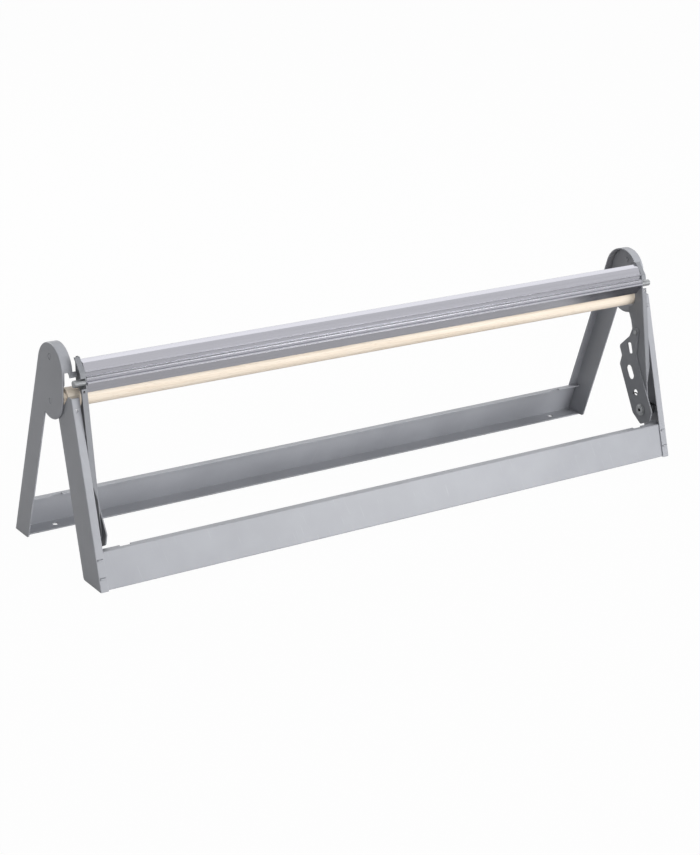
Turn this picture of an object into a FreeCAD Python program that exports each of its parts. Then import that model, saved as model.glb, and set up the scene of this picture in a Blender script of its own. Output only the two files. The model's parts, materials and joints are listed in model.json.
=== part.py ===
"""Countertop dispenser and cutter for a roll of wrapping paper.

An A-frame of folded sheet steel carries a wooden rod for the roll. A ribbed
cutter bar on two sprung arms swings forward from the front legs. X runs along
the rod, the front is towards -Y and Z is up. The origin is the middle of the
footprint, on the counter. All sizes are in millimetres.
"""
import FreeCAD
import Part
import math
import os

import Sketcher

# Driving sizes. Angles are in degrees, and places are in the part's own frame.
SIZES = {
    # A-frame
    "overall_length": 820.0,
    "overall_height": 249.0,
    "rear_lean": 16.64,
    "front_lean": 17.5,
    "sheet": 1.5,
    "bend_radius": 1.2,
    "corner_radius": 4.0,
    # Rear legs and the caps at their tops
    "rear_leg_width": 31.0,
    "cap_y": 5.5,
    "cap_radius": 29.0,
    "cap_drop": 27.0,
    "rim_depth": 12.5,
    "rim_end_rise": 3.0,
    "hook_reach": 3.5,
    "hook_drop": 5.0,
    "hook_width": 9.0,
    "hook_overhang": 4.0,
    # Rivets through the caps
    "cap_gap": 1.2,
    "rivet_low_drop": 36.0,
    "rivet_high_rise": 14.0,
    "rivet_radius": 1.8,
    "rivet_fit": 0.05,
    "rivet_head_radius": 2.7,
    "rivet_head_height": 0.5,
    "shop_head_height": 1.2,
    "dimple_radius": 3.4,
    "dimple_depth": 0.7,
    "boss_radius": 5.5,
    # Front legs
    "front_leg_width": 38.0,
    "front_flange_depth": 9.5,
    "front_flange_drop": 50.0,
    "head_clearance": 1.0,
    "lance_drop": 62.8,
    "lance_inset": 5.3,
    "lance_height": 4.4,
    "lance_depth": 2.4,
    "lance_width": 0.9,
    # Roll rod and its pockets
    "rod_radius": 11.1,
    "tenon_radius": 7.0,
    "rod_y": -18.5,
    "rod_drop": 55.0,
    "rod_end_gap": 0.5,
    "rod_chamfer": 1.2,
    "mouth_angle": 52.0,
    "mouth_length": 60.0,
    "running_gap": 0.08,
    # Rails
    "rail_height": 40.0,
    "rail_top_lip": 8.0,
    "rail_bottom_lip": 24.0,
    "rail_end_gap": 0.5,
    "lip_notch_width": 13.0,
    "lip_notch_depth": 3.2,
    "screw_hole_end": 43.0,
    "screw_hole_radius": 3.5,
    "screw_hole_inset": 12.5,
    "tab_low_z": 14.0,
    "tab_high_z": 33.0,
    "tab_width": 6.0,
    "tab_inset": 1.6,
    "tab_reach": 1.2,
    "slot_clearance": 0.2,
    # Cutter arms
    "arm_gap": 0.5,
    "pivot_inset": 22.1,
    "pivot_z": 53.5,
    "arm_lean": 11.0,
    "arm_front_offset": 12.2,
    "arm_strip_width": 15.5,
    "arm_step_low_drop": 107.0,
    "arm_step_high_drop": 73.0,
    "arm_rear_y": -22.0,
    "arm_rear_top_y": -18.0,
    "arm_top_drop": 9.0,
    "arm_bend_drop": 23.0,
    "arm_top_slope": 48.0,
    "arm_top_radius": 5.0,
    "arm_flange_depth": 7.0,
    "arm_flange_low_rise": 38.5,
    "arm_flange_full_rise": 64.5,
    "arm_rod_clearance": 2.5,
    "lug_radius": 11.5,
    "pin_notch": 1.5,
    "sight_hole_radius": 1.3,
    "sight_hole_drop": 8.5,
    # Slotted plates on the arms
    "plate_height": 104.0,
    "plate_slot_angle": 60.0,
    "plate_slot_length": 19.0,
    "plate_slot_width": 10.0,
    "plate_hole_radius": 4.0,
    "plate_corner_radius": 4.0,
    # Pivot studs
    "stud_radius": 4.0,
    "stud_bore_radius": 2.2,
    "stud_bore_depth": 6.0,
    "stud_sleeve_radius": 6.2,
    "stud_base_radius": 8.5,
    "stud_base_height": 2.0,
    "stud_head_radius": 6.0,
    "stud_head_height": 1.2,
    "washer_radius": 7.5,
    "washer_height": 0.8,
    "side_gap": 0.3,
    # Torsion springs
    "spring_wire": 1.6,
    "spring_radius": 7.4,
    "spring_pitch": 2.2,
    "spring_turns": 3.0,
    "spring_end_bend": 2.4,
    "spring_end_reach": 1.6,
    # Keeper pins
    "pin_y": -38.5,
    "pin_drop": 34.0,
    "pin_radius": 4.0,
    "pin_length": 13.0,
    "pin_tail_radius": 2.5,
    # Cutter bar, by its five corners from the top rear edge to the lower edge
    "bar_top_y": -26.5,
    "bar_top_drop": 11.5,
    "bar_crease_y": -33.0,
    "bar_crease_drop": 14.0,
    "bar_upper_y": -37.6,
    "bar_upper_drop": 21.4,
    "bar_nose_y": -44.0,
    "bar_nose_drop": 34.5,
    "bar_lower_y": -34.0,
    "bar_lower_drop": 47.5,
    "bar_wall": 2.8,
    "ridge_height": 0.9,
    "ridge_width": 1.8,
    "groove_depth": 1.6,
    "blade_thickness": 0.8,
    "blade_width": 6.0,
    "blade_proud": 0.7,
    "blade_bevel": 0.9,
    "blade_fit": 0.05,
    "blade_end_gap": 1.0,
    "seat_width": 1.2,
    "port_radius": 2.1,
    "port_wall": 1.7,
    "screw_fit": 0.05,
    "screw_head_radius": 3.4,
    "screw_head_height": 2.6,
    "screw_length": 14.0,
    "driver_slot_width": 1.2,
    "driver_slot_depth": 1.3,
}
SIDES = {"left": -1, "right": 1}

doc = FreeCAD.newDocument("PaperRollCutter")
sheet = doc.addObject("Spreadsheet::Sheet", "Dims")


class Size:
    """A size of the sheet, or one worked out from such sizes, with the text that binds it."""

    def __init__(self, value, text):
        self.value = float(value)
        self.text = text

    def joined(self, other, sign, value):
        return Size(value, "(" + self.text + sign + other.text + ")")

    def __add__(self, other):
        other = as_size(other)
        return self.joined(other, " + ", self.value + other.value)

    def __sub__(self, other):
        other = as_size(other)
        return self.joined(other, " - ", self.value - other.value)

    def __mul__(self, other):
        other = as_size(other)
        return self.joined(other, " * ", self.value * other.value)

    def __truediv__(self, other):
        other = as_size(other)
        return self.joined(other, " / ", self.value / other.value)

    def __neg__(self):
        return Size(-self.value, "(0 - " + self.text + ")")


def as_size(number):
    """Take a plain number as a size with no cell of its own."""
    if isinstance(number, Size):
        return number
    return Size(number, "(" + repr(float(number)) + ")")


def sine(angle):
    return Size(math.sin(math.radians(angle.value)), "sin(" + angle.text + ")")


def cosine(angle):
    return Size(math.cos(math.radians(angle.value)), "cos(" + angle.text + ")")


def tangent(angle):
    return Size(math.tan(math.radians(angle.value)), "tan(" + angle.text + ")")


def root(number):
    return Size(math.sqrt(number.value), "sqrt(" + number.text + ")")


def fill_sheet():
    """Write each driving size to its own cell and give the sizes back by name."""
    named = {}
    for row, (name, value) in enumerate(SIZES.items(), start=1):
        sheet.set("A" + str(row), name)
        sheet.set("B" + str(row), str(value))
        sheet.setAlias("B" + str(row), name)
        named[name] = Size(value, "Dims." + name)
    doc.recompute()
    return named


D = fill_sheet()
SHEET = D["sheet"]

# Heights and places that the pieces share, seen from the end of the frame
TOP = D["overall_height"]
CAP_HIGH_Z = TOP - D["cap_radius"]
CAP_LOW_Z = CAP_HIGH_Z - D["cap_drop"]
RIM_END_Z = CAP_HIGH_Z + D["rim_end_rise"]
FLANGE_TOP_Z = TOP - D["front_flange_drop"]
ARM_TOP_Z = TOP - D["arm_top_drop"]
ARM_BEND_Z = TOP - D["arm_bend_drop"]
ARM_FLANGE_LOW_Z = D["pivot_z"] + D["arm_flange_low_rise"]
ARM_FLANGE_FULL_Z = D["pivot_z"] + D["arm_flange_full_rise"]
REAR_TAN, FRONT_TAN, ARM_TAN = tangent(D["rear_lean"]), tangent(D["front_lean"]), tangent(D["arm_lean"])
REAR_COS, FRONT_COS, ARM_COS = cosine(D["rear_lean"]), cosine(D["front_lean"]), cosine(D["arm_lean"])
REAR_FOOT = D["cap_y"] + CAP_HIGH_Z * REAR_TAN + D["cap_radius"] / REAR_COS
FRONT_FOOT = -REAR_FOOT
ARM_TOP_SIN = sine(D["arm_top_slope"])
ARM_TOP_COT = as_size(1) / tangent(D["arm_top_slope"])
PIVOT = (FRONT_FOOT + FRONT_TAN * D["pivot_z"] + D["pivot_inset"] / FRONT_COS, D["pivot_z"])
ARM_FOOT = PIVOT[0] - D["arm_front_offset"] / ARM_COS - D["pivot_z"] * ARM_TAN
CAP_TOP = (D["cap_y"], CAP_HIGH_Z)
CAP_LOW = (D["cap_y"], CAP_LOW_Z)
ROD = (D["rod_y"], TOP - D["rod_drop"])
PIN = (D["pin_y"], TOP - D["pin_drop"])
CAP_RIVETS = (
    (D["cap_y"], CAP_HIGH_Z - D["rivet_low_drop"]),
    (D["cap_y"], CAP_HIGH_Z + D["rivet_high_rise"]),
)

# Distances from the middle of the frame, out along X
HALF = D["overall_length"] / 2
CAP_INNER = HALF - SHEET
LEG_OUTER = CAP_INNER - D["cap_gap"]
LEG_INNER = LEG_OUTER - SHEET
FLANGE_INNER = LEG_OUTER - D["front_flange_depth"]
RIM_INNER = HALF - D["rim_depth"]
ARM_FLANGE_OUTER = FLANGE_INNER - D["arm_gap"]
ARM_INNER = ARM_FLANGE_OUTER - D["arm_flange_depth"]
ARM_OUTER = ARM_INNER + SHEET
PLATE_INNER = ARM_INNER - SHEET
WASHER_OUTER = PLATE_INNER - D["side_gap"]
WASHER_INNER = WASHER_OUTER - D["washer_height"]
SCREW_HOLE_X = HALF - D["screw_hole_end"]


def moved(point, dy, dz):
    return (point[0] + dy, point[1] + dz)


def rear_line(z, inset=0.0):
    """Point of the rear legs' rear edge at height z, moved in by inset square to the edge."""
    y = REAR_FOOT - REAR_TAN * z - as_size(inset) / REAR_COS
    return (y, as_size(z))


def front_line(z, inset=0.0):
    """Point of the front legs' front edge at height z, moved in by inset square to the edge."""
    y = FRONT_FOOT + FRONT_TAN * z + as_size(inset) / FRONT_COS
    return (y, as_size(z))


def arm_line(z, inset=0.0):
    """Point of the arms' front edge at height z, moved in by inset square to the edge."""
    y = ARM_FOOT + ARM_TAN * z + as_size(inset) / ARM_COS
    return (y, as_size(z))


def arm_top_line(z, inset=0.0):
    """Point of the sloped front edge of the arms' tops at height z, moved in by inset square to the edge."""
    y = arm_line(ARM_BEND_Z)[0] + (as_size(z) - ARM_BEND_Z) * ARM_TOP_COT + as_size(inset) / ARM_TOP_SIN
    return (y, as_size(z))


# Sketches and features


def new_body(label):
    body = doc.addObject("PartDesign::Body", label)
    body.Label = label
    return body


def bind(sketch, constraint, size):
    index = sketch.addConstraint(constraint)
    sketch.setExpression("Constraints[" + str(index) + "]", size.text)


def draw_polygon(sketch, points):
    """Draw a closed polygon whose corners are bound to the sheet."""
    places = [FreeCAD.Vector(a.value, b.value, 0) for a, b in points]
    count = len(places)
    first = sketch.GeometryCount
    for number, place in enumerate(places):
        sketch.addGeometry(Part.LineSegment(place, places[(number + 1) % count]), False)
    for number, (a, b) in enumerate(points):
        line = first + number
        follower = first + (number + 1) % count
        sketch.addConstraint(Sketcher.Constraint("Coincident", line, 2, follower, 1))
        bind(sketch, Sketcher.Constraint("DistanceX", line, 1, a.value), a)
        bind(sketch, Sketcher.Constraint("DistanceY", line, 1, b.value), b)


def draw_circle(sketch, centre, radius):
    """Draw a circle whose centre and radius are bound to the sheet."""
    place = FreeCAD.Vector(centre[0].value, centre[1].value, 0)
    line = sketch.addGeometry(Part.Circle(place, FreeCAD.Vector(0, 0, 1), radius.value), False)
    bind(sketch, Sketcher.Constraint("DistanceX", line, 3, centre[0].value), centre[0])
    bind(sketch, Sketcher.Constraint("DistanceY", line, 3, centre[1].value), centre[1])
    bind(sketch, Sketcher.Constraint("Radius", line, radius.value), radius)


def add_feature(body, kind, name, role, low, high, polygons, circles):
    """Pad or pocket outlines between two heights over one of the body's own planes."""
    volume = 0.0 if body.Tip is None else body.Shape.Volume
    sketch = body.newObject("Sketcher::SketchObject", name + "_sketch")
    plane = [item for item in body.Origin.OriginFeatures if item.Role == role][0]
    sketch.AttachmentSupport = [(plane, "")]
    sketch.MapMode = "FlatFace"
    sketch.setExpression("AttachmentOffset.Base.z", low.text)
    for points in polygons:
        draw_polygon(sketch, points)
    for centre, radius in circles:
        draw_circle(sketch, centre, radius)
    feature = body.newObject("PartDesign::" + kind, name)
    feature.Profile = sketch
    feature.setExpression("Length", (high - low).text)
    feature.Reversed = kind == "Pocket"
    doc.recompute()
    change = body.Shape.Volume - volume
    if abs(change) < 1e-3 or (change > 0) != (kind == "Pad"):
        raise RuntimeError(body.Label + "." + name + " changes the volume by " + str(change))


def side_span(side, near, far):
    """Lower and upper x of the stretch from near to far, out from the middle to one side."""
    if side > 0:
        return near, far
    return -far, -near


def pad(body, name, side, near, far, polygons=(), circles=()):
    """Add a solid whose outline is seen from the end, from near to far out along X."""
    low, high = side_span(side, near, far)
    add_feature(body, "Pad", name, "YZ_Plane", low, high, polygons, circles)


def pocket(body, name, side, near, far, polygons=(), circles=()):
    """Cut an outline that is seen from the end, from near to far out along X."""
    low, high = side_span(side, near, far)
    add_feature(body, "Pocket", name, "YZ_Plane", low, high, polygons, circles)


def runs_along_x(edge):
    start = edge.Vertexes[0].Point
    end = edge.Vertexes[-1].Point
    return abs(start.x - end.x) > 1e-6 and abs(start.y - end.y) < 1e-6 and abs(start.z - end.z) < 1e-6


def dress(body, kind, name, size_name, size, test):
    """Fillet or chamfer the edges that pass a test."""
    base = body.Tip
    edges = ["Edge" + str(number) for number, edge in enumerate(base.Shape.Edges, start=1) if test(edge)]
    if not edges:
        raise RuntimeError(body.Label + "." + name + " finds no edge")
    feature = body.newObject("PartDesign::" + kind, name)
    feature.Base = (base, edges)
    feature.setExpression(size_name, size.text)
    doc.recompute()


def round_corners(body, name, radius, points):
    """Round the edges along X that stand at the given corners of an outline."""

    def at_corner(edge):
        place = edge.Vertexes[0].Point
        near = [abs(place.y - a.value) + abs(place.z - b.value) < 1e-4 for a, b in points]
        return any(near) and runs_along_x(edge)

    dress(body, "Fillet", name, "Radius", radius, at_corner)


def round_bend(body, name, side, outer, line):
    """Round the outer edge of the bend that follows a leg's or an arm's sloping line."""

    def on_bend(edge):
        middle = edge.CenterOfMass
        on_face = abs(middle.x - side * outer.value) < 1e-4
        return on_face and abs(middle.y - line(middle.z)[0].value) < 1e-4

    dress(body, "Fillet", name, "Radius", D["bend_radius"], on_bend)


# Frame


def tab_outline(line, z, grow):
    """Outline of a rail's tab, from the rail's face out through the leg's flange."""
    half = SHEET / 2 + grow
    reach = -(D["tab_reach"] + grow)
    low, high = z - half, z + half
    return [line(low, SHEET), line(low, reach), line(high, reach), line(high, SHEET)]


def tab_outlines(line, grow=0.0):
    return [tab_outline(line, D[name], as_size(grow)) for name in ("tab_low_z", "tab_high_z")]


def build_rear_leg(name, side):
    """Leg with a rear flange, and the rimmed cap that it widens to at the top."""
    body = new_body("rear_leg_" + name)
    radius = D["cap_radius"]
    width = D["rear_leg_width"]
    cos_lean, sin_lean = REAR_COS, sine(D["rear_lean"])
    touch = moved(CAP_TOP, radius * cos_lean, radius * sin_lean)
    inner_touch = moved(CAP_TOP, (radius - SHEET) * cos_lean, (radius - SHEET) * sin_lean)
    beyond = moved(CAP_TOP, radius * cos_lean * 2, radius * sin_lean * 2)
    toe = rear_line(0, width)
    strip = [rear_line(0), touch, CAP_TOP, CAP_LOW, rear_line(CAP_LOW_Z, width), toe]
    front_half = [CAP_LOW, CAP_TOP, moved(CAP_TOP, -radius, 0), moved(CAP_LOW, -radius, 0)]
    pad(body, "strip", side, CAP_INNER, HALF, [strip])
    pad(body, "cap_low", side, CAP_INNER, HALF, circles=[(CAP_LOW, radius)])
    pad(body, "cap_top", side, CAP_INNER, HALF, circles=[(CAP_TOP, radius)])
    pad(body, "cap_front", side, CAP_INNER, HALF, [front_half])
    pad(body, "rim", side, RIM_INNER, CAP_INNER, circles=[(CAP_TOP, radius), (CAP_TOP, radius - SHEET)])
    below_rim = [
        CAP_TOP,
        beyond,
        moved(CAP_TOP, radius * 2, -radius * 2),
        moved(CAP_TOP, -radius * 2, -radius * 2),
        (D["cap_y"] - radius * 2, RIM_END_Z),
        (D["cap_y"], RIM_END_Z),
    ]
    pocket(body, "rim_end", side, RIM_INNER, CAP_INNER, [below_rim])
    pad(body, "flange", side, RIM_INNER, CAP_INNER, [[rear_line(0), touch, inner_touch, rear_line(0, SHEET)]])
    add_rim_hook(body, side)
    pad(body, "bosses", side, LEG_OUTER, CAP_INNER, circles=[(spot, D["boss_radius"]) for spot in CAP_RIVETS])
    pocket(body, "dimples", side, HALF - D["dimple_depth"], HALF,
           circles=[(spot, D["dimple_radius"]) for spot in CAP_RIVETS])
    pocket(body, "rivet_holes", side, LEG_OUTER, HALF,
           circles=[(spot, D["rivet_radius"] + D["rivet_fit"]) for spot in CAP_RIVETS])
    near = RIM_INNER + D["tab_inset"] - D["slot_clearance"]
    far = RIM_INNER + D["tab_inset"] + D["tab_width"] + D["slot_clearance"]
    pocket(body, "tab_slots", side, near, far, tab_outlines(rear_line, D["slot_clearance"]))
    round_bend(body, "bend", side, HALF, rear_line)
    round_corners(body, "toe", D["corner_radius"], [toe])
    return body


def add_rim_hook(body, side):
    """Curl at the front end of a cap's rim."""
    rise = RIM_END_Z - CAP_HIGH_Z
    inner = D["cap_radius"] - SHEET
    outer_y = D["cap_y"] - root(D["cap_radius"] * D["cap_radius"] - rise * rise)
    inner_y = D["cap_y"] - root(inner * inner - rise * rise)
    start = (outer_y, RIM_END_Z)
    tip = moved(start, -D["hook_reach"], -D["hook_drop"])
    curl = [
        (inner_y, RIM_END_Z),
        start,
        moved(tip, 0.0, D["hook_drop"] / 2),
        tip,
        moved(tip, SHEET, 0.0),
        moved(tip, SHEET, D["hook_drop"] / 3),
    ]
    near = RIM_INNER - D["hook_overhang"]
    pad(body, "hook", side, near, near + D["hook_width"], [curl])


def build_front_leg(name, side):
    """Leg with a front flange, the head that the rivets hold and the open pocket for the rod."""
    body = new_body("front_leg_" + name)
    width = D["front_leg_width"]
    top = FLANGE_TOP_Z
    head = D["cap_radius"] - SHEET - D["head_clearance"]
    heel = front_line(0, width)
    strip = [front_line(0), front_line(top), (D["cap_y"], top), CAP_LOW, front_line(CAP_LOW_Z, width), heel]
    middle = [
        moved(CAP_LOW, -head, 0),
        moved(CAP_LOW, head, 0),
        moved(CAP_TOP, head, 0),
        moved(CAP_TOP, -head, 0),
    ]
    pad(body, "strip", side, LEG_INNER, LEG_OUTER, [strip])
    pad(body, "head_low", side, LEG_INNER, LEG_OUTER, circles=[(CAP_LOW, head)])
    pad(body, "head_top", side, LEG_INNER, LEG_OUTER, circles=[(CAP_TOP, head)])
    pad(body, "head_middle", side, LEG_INNER, LEG_OUTER, [middle])
    cut_rod_pocket(body, side)
    pocket(body, "rivet_holes", side, LEG_INNER, LEG_OUTER,
           circles=[(spot, D["rivet_radius"] + D["rivet_fit"]) for spot in CAP_RIVETS])
    flange = [front_line(0), front_line(top), front_line(top, SHEET), front_line(0, SHEET)]
    pad(body, "flange", side, FLANGE_INNER, LEG_INNER, [flange])
    near = FLANGE_INNER + D["tab_inset"] - D["slot_clearance"]
    far = FLANGE_INNER + D["tab_inset"] + D["tab_width"] + D["slot_clearance"]
    pocket(body, "tab_slots", side, near, far, tab_outlines(front_line, D["slot_clearance"]))
    cut_lance(body, side)
    round_bend(body, "bend", side, LEG_OUTER, front_line)
    round_corners(body, "heel", D["corner_radius"], [heel])
    return body


def cut_lance(body, side):
    """Cut the small arrow-shaped lance near the top of a front leg's flange."""
    z = TOP - D["lance_drop"]
    up = D["lance_height"] / 2
    tip = LEG_OUTER - D["lance_inset"] - D["lance_depth"] / 2
    tail = tip + D["lance_depth"]
    width = D["lance_width"]
    arrow = [
        (tail * side, z + up),
        ((tail + width) * side, z + up),
        ((tip + width) * side, z),
        ((tail + width) * side, z - up),
        (tail * side, z - up),
        (tip * side, z),
    ]
    add_feature(body, "Pocket", "lance", "XZ_Plane", as_size(0), -FRONT_FOOT, [arrow], [])


def cut_rod_pocket(body, side):
    """Cut the round seat of the rod's end and the mouth that it drops in through."""
    radius = D["tenon_radius"] + D["running_gap"]
    cos_mouth, sin_mouth = cosine(D["mouth_angle"]), sine(D["mouth_angle"])
    out_y, out_z = -(cos_mouth * D["mouth_length"]), sin_mouth * D["mouth_length"]
    upper = moved(ROD, radius * sin_mouth, radius * cos_mouth)
    lower = moved(ROD, -(radius * sin_mouth), -(radius * cos_mouth))
    mouth = [upper, moved(upper, out_y, out_z), moved(lower, out_y, out_z), lower]
    pocket(body, "rod_mouth", side, LEG_INNER, LEG_OUTER, [mouth])
    pocket(body, "rod_seat", side, LEG_INNER, LEG_OUTER, circles=[(ROD, radius)])


def build_rail(name, line, inward, flange_inner, leg_inner):
    """Folded channel along one foot of the frame, with tabs through the legs' flanges.

    Args:
        line: the edge line of the legs that the rail lies behind.
        inward: +1 or -1, the way along Y from the rail to the middle of the frame.
        flange_inner: distance out along X to the free edge of the legs' flanges.
        leg_inner: distance out along X to the inner face of the legs.
    """
    body = new_body(name)
    height = D["rail_height"]
    half = leg_inner - D["rail_end_gap"]
    foot, top = line(0, SHEET), line(height, SHEET)
    under_top = height - SHEET
    lip_y = top[0] + D["rail_top_lip"] * inward
    sole_y = foot[0] + D["rail_bottom_lip"] * inward
    channel = [
        foot,
        top,
        (lip_y, height),
        (lip_y, under_top),
        line(under_top, SHEET * 2),
        line(SHEET, SHEET * 2),
        (sole_y, SHEET),
        (sole_y, as_size(0)),
    ]
    pad(body, "channel", 1, -half, half, [channel])
    round_corners(body, "bends", D["bend_radius"], [foot, top])
    notch_y = lip_y - D["lip_notch_depth"] * inward
    notch = [
        (notch_y, height + SHEET),
        (notch_y, under_top - SHEET),
        (lip_y + SHEET * inward, under_top - SHEET),
        (lip_y + SHEET * inward, height + SHEET),
    ]
    hole_y = foot[0] + D["screw_hole_inset"] * inward
    for end, side in SIDES.items():
        notch_half = D["lip_notch_width"] / 2
        pocket(body, "notch_" + end, side, SCREW_HOLE_X - notch_half, SCREW_HOLE_X + notch_half, [notch])
        hole = ((SCREW_HOLE_X * side, hole_y), D["screw_hole_radius"])
        add_feature(body, "Pocket", "screw_hole_" + end, "XY_Plane", -SHEET, SHEET * 2, [], [hole])
        near = flange_inner + D["tab_inset"]
        pad(body, "tabs_" + end, side, near, near + D["tab_width"], tab_outlines(line))
    return body


def build_cap_rivets(name, side):
    """Two rivets that lock a rear leg's cap to the front leg's head."""
    body = new_body("cap_rivets_" + name)
    floor = HALF - D["dimple_depth"]
    heads = [(spot, D["rivet_head_radius"]) for spot in CAP_RIVETS]
    pad(body, "shanks", side, LEG_INNER, floor, circles=[(spot, D["rivet_radius"]) for spot in CAP_RIVETS])
    pad(body, "heads", side, floor, floor + D["rivet_head_height"], circles=heads)
    pad(body, "shop_heads", side, LEG_INNER - D["shop_head_height"], LEG_INNER, circles=heads)
    return body


def build_pivot_stud(name, side):
    """Stud on the inner face of a front leg: base, sleeve for the spring, journal and hollow head."""
    body = new_body("pivot_stud_" + name)
    base = LEG_INNER - D["stud_base_height"]
    shoulder = ARM_OUTER + D["side_gap"]
    tip = WASHER_INNER - D["stud_head_height"]
    pad(body, "base", side, base, LEG_INNER, circles=[(PIVOT, D["stud_base_radius"])])
    pad(body, "sleeve", side, shoulder, base, circles=[(PIVOT, D["stud_sleeve_radius"])])
    pad(body, "journal", side, WASHER_INNER, shoulder, circles=[(PIVOT, D["stud_radius"])])
    pad(body, "head", side, tip, WASHER_INNER, circles=[(PIVOT, D["stud_head_radius"])])
    pocket(body, "bore", side, tip, tip + D["stud_bore_depth"], circles=[(PIVOT, D["stud_bore_radius"])])
    return body


def build_pivot_washer(name, side):
    body = new_body("pivot_washer_" + name)
    ring = [(PIVOT, D["washer_radius"]), (PIVOT, D["stud_radius"] + D["running_gap"])]
    pad(body, "ring", side, WASHER_INNER, WASHER_OUTER, circles=ring)
    return body


# Torsion springs


def biarc(start, start_way, end, end_way):
    """Two arcs that join two points and keep the direction at each."""
    gap = end - start
    ways = start_way + end_way
    spread = 2.0 * (1.0 - start_way.dot(end_way))
    reach = (math.sqrt(gap.dot(ways) ** 2 + spread * gap.dot(gap)) - gap.dot(ways)) / spread
    first = start + start_way * reach
    second = end - end_way * reach
    joint = (first + second) * 0.5
    return [arc_by_corner(start, first, joint), arc_by_corner(joint, second, end)]


def arc_by_corner(start, corner, end):
    """Arc from start to end whose end tangents meet at corner."""
    chord_middle = (start + end) * 0.5
    rise = corner - chord_middle
    half_chord = (end - start).Length / 2.0
    turn = math.atan2(rise.Length, half_chord)
    top = chord_middle + rise * (half_chord * math.tan(turn / 2.0) / rise.Length)
    return Part.Arc(start, top, end).toShape()


def spring_centre_line(side):
    """Edges of a spring's centre line: a tail on the leg, the turns, and a tail in the plate's hole."""
    radius, wire = D["spring_radius"].value, D["spring_wire"].value
    axis_y, axis_z = PIVOT[0].value, D["pivot_z"].value
    rise = D["spring_pitch"].value / (2.0 * math.pi)
    hole_y, hole_z = [place.value for place in plate_point(SPRING_HOLE)]
    hole_angle = math.atan2(hole_z - axis_z, hole_y - axis_y)
    lean = D["plate_hole_radius"].value - wire / 2.0 - D["side_gap"].value
    anchor_y = hole_y - axis_y + lean * math.sin(hole_angle)
    anchor_z = hole_z - axis_z - lean * math.cos(hole_angle)
    reach = math.sqrt(anchor_y ** 2 + anchor_z ** 2 - radius ** 2)
    last_angle = math.atan2(anchor_z, anchor_y) + math.atan2(reach, radius)
    total = (math.pi / 2.0 - last_angle) % (2.0 * math.pi) + 2.0 * math.pi * D["spring_turns"].value
    first_x = (LEG_INNER - D["stud_base_height"] - D["side_gap"] * 2).value - wire / 2.0

    def place(turned):
        angle = math.pi / 2.0 - turned
        y, z = axis_y + radius * math.cos(angle), axis_z + radius * math.sin(angle)
        return FreeCAD.Vector(side * (first_x - rise * turned), y, z)

    def way(turned):
        angle = math.pi / 2.0 - turned
        return FreeCAD.Vector(-side * rise, radius * math.sin(angle), -radius * math.cos(angle)).normalize()

    steps = math.ceil(total / (math.pi / 2.0))
    stops = [total * number / steps for number in range(steps + 1)]
    leg_y = front_line(axis_z + radius + wire / 2.0, SHEET)[0].value + D["side_gap"].value
    leg_end = place(0.0) - way(0.0) * ((axis_y - leg_y) / way(0.0).y)
    edges = [Part.LineSegment(leg_end, place(0.0)).toShape()]
    for low, high in zip(stops, stops[1:]):
        edges += biarc(place(low), way(low), place(high), way(high))
    last_way = way(total)
    corner = place(total) + last_way * (reach / math.hypot(last_way.y, last_way.z))
    inward = FreeCAD.Vector(-side, 0.0, 0.0)
    bend = D["spring_end_bend"].value
    bend_start, bend_end = corner - last_way * bend, corner + inward * bend
    tip = FreeCAD.Vector(side * (PLATE_INNER - D["spring_end_reach"]).value, corner.y, corner.z)
    edges.append(Part.LineSegment(place(total), bend_start).toShape())
    edges.append(arc_by_corner(bend_start, corner, bend_end))
    edges.append(Part.LineSegment(bend_end, tip).toShape())
    return edges


def least_gap(edges, wire):
    """Least gap between parts of a wound wire that are more than half a turn apart along it."""
    points, places = [], []
    walked = 0.0
    for edge in edges:
        count = max(2, int(edge.Length / 0.5))
        for number, point in enumerate(edge.discretize(count)):
            points.append(point)
            places.append(walked + edge.Length * number / (count - 1))
        walked += edge.Length
    half_turn = math.pi * D["spring_radius"].value
    gaps = [
        points[i].distanceToPoint(points[j])
        for i in range(len(points))
        for j in range(i)
        if places[i] - places[j] > half_turn
    ]
    return min(gaps) - wire


def build_spring(name, side):
    """Torsion spring round a pivot stud, one wire swept along its centre line."""
    feature = doc.addObject("Part::Feature", "torsion_spring_" + name)
    edges = spring_centre_line(side)
    wire = D["spring_wire"].value
    start = edges[0].Vertexes[0].Point
    way = (edges[0].Vertexes[1].Point - start).normalize()
    sweep = Part.BRepOffsetAPI.MakePipeShell(Part.Wire(edges))
    sweep.add(Part.Wire([Part.Circle(start, way, wire / 2.0).toShape()]))
    sweep.build()
    sweep.makeSolid()
    feature.Shape = sweep.shape()
    print(feature.Label, "least gap of the wire to itself:", round(least_gap(edges, wire), 3))
    return feature


# Cutter


# Outline of a slotted plate from its pivot, in millimetres for a plate of PLATE_BASIS height
PLATE_BASIS = 104.0
PLATE_TAB = [(17.0, 104.0), (27.0, 104.0)]
PLATE_NECK = [(32.0, 90.0), (49.0, 73.0), (43.0, 61.0), (45.5, 49.0)]
PLATE_FOOT = [(14.0, -8.0), (-2.0, -19.0), (-18.0, -10.0), (-20.5, 3.0)]
PLATE_FRONT = [(-8.0, 23.0), (13.4, 61.0), (17.0, 70.0)]
NECK_SLOT = [(35.0, 80.5), (29.7, 67.0), (23.5, 69.0), (28.3, 82.5)]
OVAL_SLOT = (25.0, 43.5)
SPRING_HOLE = (12.0, 19.8)
PLATE_RIVET = (21.5, 98.0)


def plate_point(place):
    """A place of the slotted plate, scaled with the plate and measured from the pivot."""
    scale = D["plate_height"] / PLATE_BASIS
    return moved(PIVOT, scale * place[0], scale * place[1])


def plate_points(places):
    return [plate_point(place) for place in places]


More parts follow.
